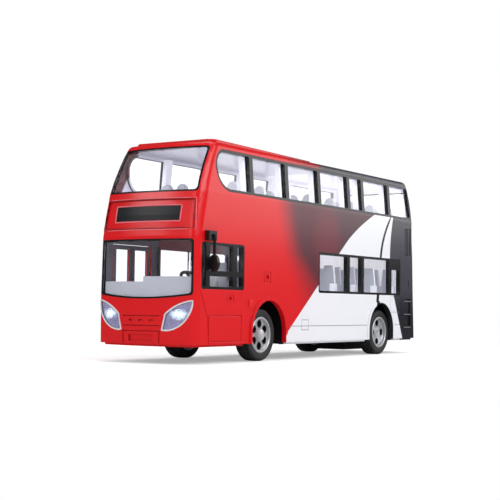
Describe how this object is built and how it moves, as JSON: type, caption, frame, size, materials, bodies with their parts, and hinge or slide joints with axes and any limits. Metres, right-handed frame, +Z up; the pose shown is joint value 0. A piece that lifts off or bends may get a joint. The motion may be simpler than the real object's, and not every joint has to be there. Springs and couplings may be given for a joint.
{
  "type": "toy double decker bus",
  "caption": "Toy double decker bus with hollow glazed body on two decks, steering front wheels, driven rear axle and a folding-open front door.",
  "frame": {"origin": "on the floor under the middle of the body's length and width", "axes": "+X forward, +Y to the bus's left, +Z up"},
  "size_m": [0.3419, 0.0962, 0.1508],
  "materials": {
    "body_red": "glossy moulded plastic, painted red, white and black",
    "black_plastic": "satin black moulded plastic",
    "chassis_black": "matt black moulded plastic",
    "clear_plastic": "clear moulded plastic",
    "sign_black": "gloss black, blank",
    "lamp_clear": "clear lens",
    "lamp_silver": "bright plated plastic",
    "lamp_red": "translucent red plastic",
    "seat_grey": "light grey moulded plastic",
    "rim_silver": "silver painted plastic",
    "tyre_rubber": "black soft rubber",
    "axle_steel": "plain steel"
  },
  "bodies": {
    "root": {"front_fascia": "body_red", "side_left": "body_red", "side_right": "body_red", "rear_panel": "body_red", "roof_shell": "body_red", "roof_pod": "body_red", "window_frames_left": "black_plastic", "window_frames_right": "black_plastic", "side_glass_left": "clear_plastic", "side_glass_right": "clear_plastic", "lower_windscreen": "clear_plastic", "upper_windscreen": "clear_plastic", "rear_glass": "clear_plastic", "screen_gaskets": "black_plastic", "destination_sign": "sign_black", "headlamp_lenses": "lamp_clear", "headlamp_bowls": "lamp_silver", "tail_lamps": "lamp_red", "mirror_left": "black_plastic", "mirror_right": "black_plastic", "chassis": "chassis_black", "wheel_wells": "chassis_black", "battery_cover": "chassis_black", "gearbox": "chassis_black", "lower_deck": "seat_grey", "upper_deck": "seat_grey", "lower_seats": "seat_grey", "upper_seats": "seat_grey", "dashboard": "seat_grey", "steering_wheel": "black_plastic", "driver_seat": "seat_grey", "front_axle_beam": "chassis_black"},
    "knuckle_left": {"knuckle_left": "chassis_black"},
    "knuckle_right": {"knuckle_right": "chassis_black"},
    "tie_rod": {"tie_rod": "chassis_black"},
    "front_wheel_left": {"front_tyre_left": "tyre_rubber", "front_rim_left": "rim_silver"},
    "front_wheel_right": {"front_tyre_right": "tyre_rubber", "front_rim_right": "rim_silver"},
    "rear_wheels": {"rear_axle": "axle_steel", "rear_tyre_left": "tyre_rubber", "rear_rim_left": "rim_silver", "rear_tyre_right": "tyre_rubber", "rear_rim_right": "rim_silver"},
    "door_front": {"door_leaf_front": "body_red", "door_glass_front": "clear_plastic"},
    "door_rear": {"door_leaf_rear": "body_red", "door_glass_rear": "clear_plastic"}
  },
  "joints": [
    {"name": "steer_left", "type": "hinge", "parent": "root", "child": "knuckle_left", "pos_m": [0.0802, 0.0228, 0.0185], "axis": [0, 0, 1], "range_deg": [-20, 20]},
    {"name": "steer_right", "type": "hinge", "parent": "root", "child": "knuckle_right", "pos_m": [0.0802, -0.0228, 0.0185], "axis": [0, 0, 1], "range_deg": [-20, 20]},
    {"name": "tie_rod_pivot", "type": "hinge", "parent": "knuckle_left", "child": "tie_rod", "pos_m": [0.0695, 0.0228, 0.0154], "axis": [0, 0, 1], "range_deg": [-20, 20]},
    {"name": "front_wheel_left_spin", "type": "hinge", "parent": "knuckle_left", "child": "front_wheel_left", "pos_m": [0.0802, 0.0314, 0.0185], "axis": [0, 1, 0], "continuous": true},
    {"name": "front_wheel_right_spin", "type": "hinge", "parent": "knuckle_right", "child": "front_wheel_right", "pos_m": [0.0802, -0.0314, 0.0185], "axis": [0, 1, 0], "continuous": true},
    {"name": "rear_axle_spin", "type": "hinge", "parent": "root", "child": "rear_wheels", "pos_m": [-0.1046, 0, 0.0185], "axis": [0, 1, 0], "continuous": true},
    {"name": "door_front_hinge", "type": "hinge", "parent": "root", "child": "door_front", "pos_m": [0.1526, -0.0395, 0.05], "axis": [0, 0, -1], "range_deg": [0, 80]},
    {"name": "door_rear_hinge", "type": "hinge", "parent": "root", "child": "door_rear", "pos_m": [0.112, -0.0395, 0.05], "axis": [0, 0, 1], "range_deg": [0, 80]}
  ],
  "couplings": [
    {"joint": "steer_right", "follows": "steer_left", "ratio": 1},
    {"joint": "tie_rod_pivot", "follows": "steer_left", "ratio": -1},
    {"joint": "door_rear_hinge", "follows": "door_front_hinge", "ratio": 1}
  ]
}
